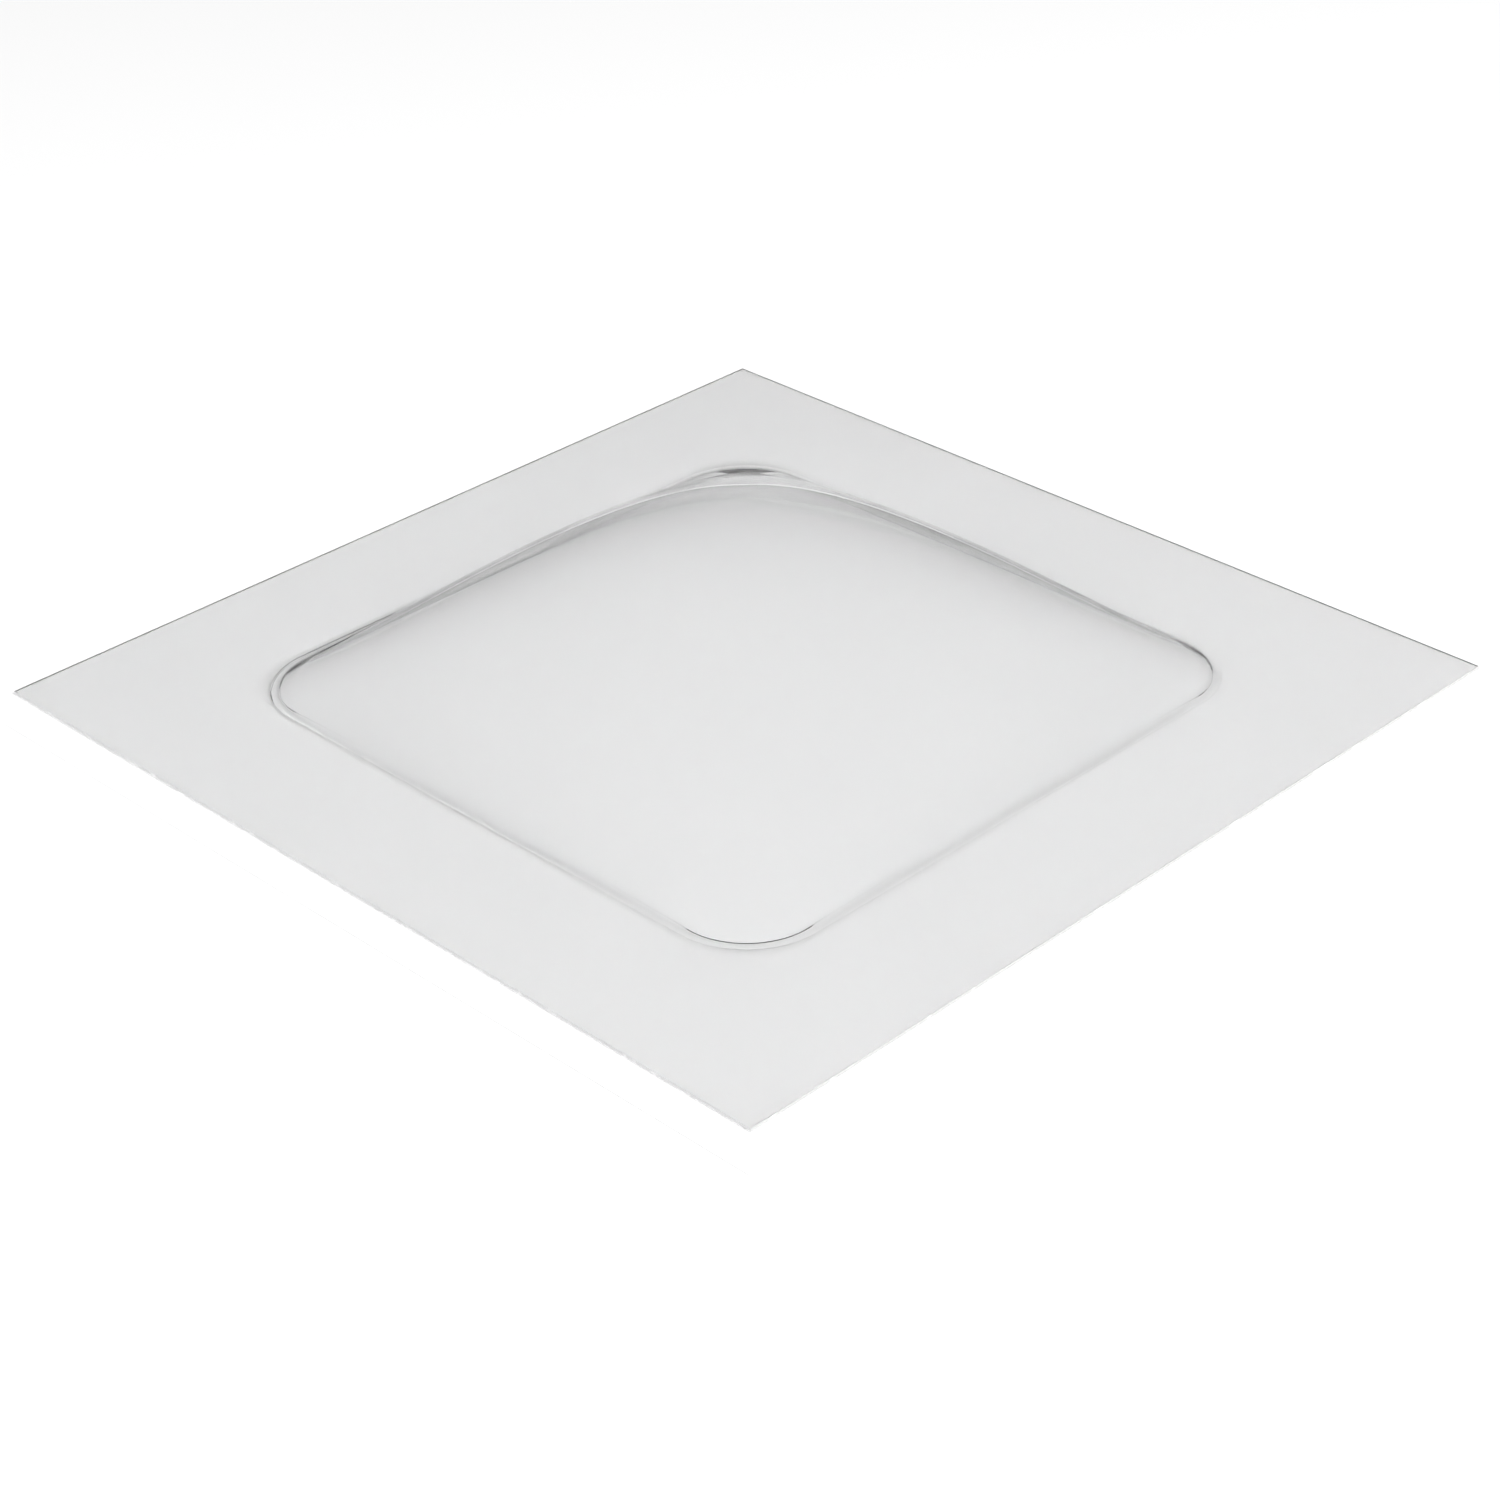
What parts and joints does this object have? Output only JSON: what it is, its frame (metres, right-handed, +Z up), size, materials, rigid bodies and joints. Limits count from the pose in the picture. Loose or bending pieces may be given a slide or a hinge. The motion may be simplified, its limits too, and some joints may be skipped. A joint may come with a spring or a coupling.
{
  "type": "domed roof vent cover pane",
  "caption": "Square clear plastic roof vent cover: one thin sheet with a flat sharp-cornered flange and a low blown dome on a round-cornered square foot, hollow and open underneath.",
  "frame": {"origin": "middle of the flange's underside, on the plane that the flange rests on", "axes": "+Z up out of the dome, along its axis; +X and +Y square to the flange's edges"},
  "size_m": [0.508, 0.508, 0.0715],
  "materials": {
    "clear_sheet": "clear, colourless, as-extruded gloss on both faces, saw-cut edges"
  },
  "bodies": {
    "root": {"domed_pane": "clear_sheet"}
  },
  "joints": []
}
